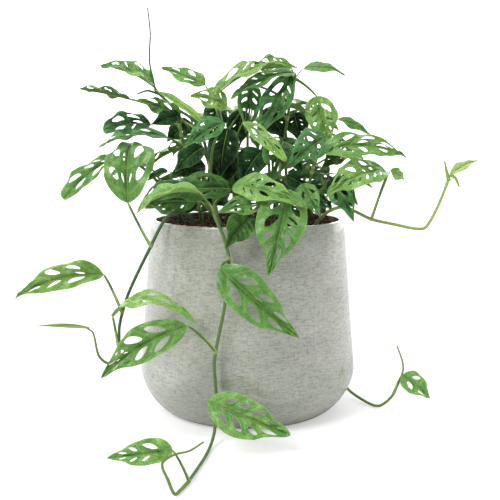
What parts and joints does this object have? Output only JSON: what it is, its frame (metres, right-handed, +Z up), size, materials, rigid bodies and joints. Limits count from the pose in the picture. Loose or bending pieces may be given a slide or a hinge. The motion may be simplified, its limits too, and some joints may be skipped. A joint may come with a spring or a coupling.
{
  "type": "potted monstera adansonii",
  "caption": "Swiss cheese vine (Monstera adansonii) with perforated leaves, bushy above a tall rounded pot, with vines trailing over the rim.",
  "frame": {"origin": "centre of the pot's flat foot, on the surface it stands on", "axes": "+Z up along the pot's axis; the front of the plant, with the big hanging leaf and the middle vine, faces -Y; +X to its right"},
  "size_m": [0.5724, 0.4651, 0.5171],
  "materials": {
    "pot": "satin",
    "soil": "matte",
    "foliage": "satin"
  },
  "bodies": {
    "root": {"pot": "pot", "soil": "soil", "vine_left": "foliage", "vine_front": "foliage", "vine_right": "foliage", "vine_back_right": "foliage", "stem_left_high": "foliage", "stem_left_mid": "foliage", "stem_left_low": "foliage", "stem_front_left": "foliage", "stem_front_centre": "foliage", "stem_front_right": "foliage", "stem_centre": "foliage", "stem_right_high": "foliage", "stem_right_mid": "foliage", "stem_right_back": "foliage", "stem_rear_1": "foliage", "stem_rear_2": "foliage", "stem_rear_3": "foliage", "stem_rear_4": "foliage", "stem_rear_5": "foliage"}
  },
  "joints": []
}
